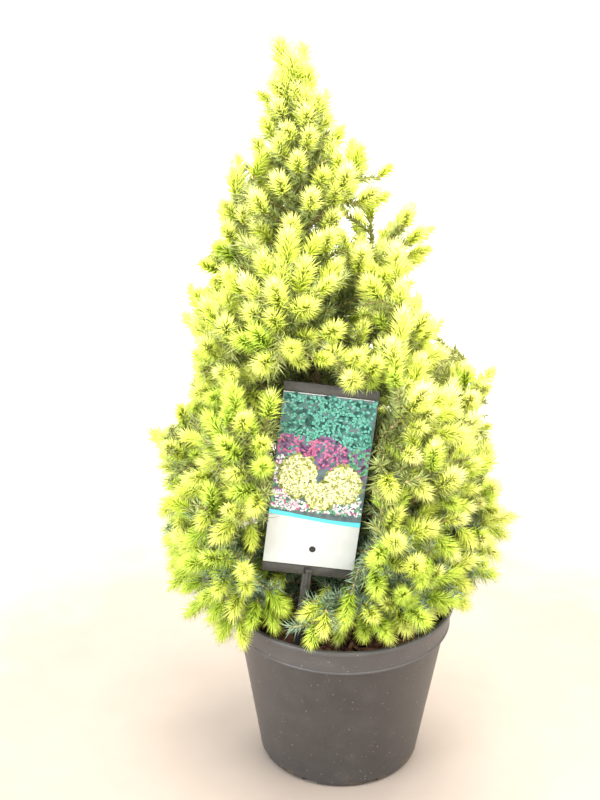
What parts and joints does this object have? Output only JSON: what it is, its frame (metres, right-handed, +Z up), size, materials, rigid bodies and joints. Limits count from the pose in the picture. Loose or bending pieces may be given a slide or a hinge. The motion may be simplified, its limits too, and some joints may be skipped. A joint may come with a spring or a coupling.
{
  "type": "potted dwarf white spruce",
  "caption": "Young conical dwarf white spruce with lime spring growth, in a round plastic nursery pot filled with bark mulch, with a picture label on a stake.",
  "frame": {"origin": "centre of the pot's flat underside", "axes": "+Z up along the plant, +X to the right as the label is read, -Y out of the label's face"},
  "size_m": [0.3131, 0.2784, 0.6089],
  "materials": {
    "pot": "moulded satin dark grey",
    "bark_mulch": "chipped bark, matt",
    "bark": "thin scaly bark, matt",
    "needles": "soft spring needles",
    "label_holder": "moulded satin black",
    "label_card": "printed film, satin"
  },
  "bodies": {
    "root": {"bough_01": "bark", "bough_02": "bark", "bough_03": "bark", "bough_04": "bark", "bough_05": "bark", "bough_06": "bark", "bough_07": "bark", "bough_08": "bark", "bough_09": "bark", "bough_10": "bark", "bough_11": "bark", "bough_12": "bark", "bough_13": "bark", "bough_14": "bark", "bough_15": "bark", "bough_16": "bark", "bough_17": "bark", "bough_18": "bark", "bough_19": "bark", "bough_20": "bark", "bough_21": "bark", "bough_22": "bark", "bough_23": "bark", "bough_24": "bark", "bough_25": "bark", "bough_26": "bark", "bough_27": "bark", "foliage_01": "needles", "foliage_02": "needles", "foliage_03": "needles", "foliage_04": "needles", "foliage_05": "needles", "foliage_06": "needles", "foliage_07": "needles", "foliage_08": "needles", "foliage_09": "needles", "foliage_10": "needles", "foliage_11": "needles", "foliage_12": "needles", "foliage_13": "needles", "foliage_14": "needles", "foliage_15": "needles", "foliage_16": "needles", "foliage_17": "needles", "foliage_18": "needles", "foliage_19": "needles", "foliage_20": "needles", "foliage_21": "needles", "foliage_22": "needles", "foliage_23": "needles", "foliage_24": "needles", "foliage_25": "needles", "foliage_26": "needles", "foliage_27": "needles", "foliage_leader": "needles", "label_card": "label_card", "label_holder": "label_holder", "pot": "pot", "soil": "bark_mulch", "trunk": "bark"}
  },
  "joints": []
}
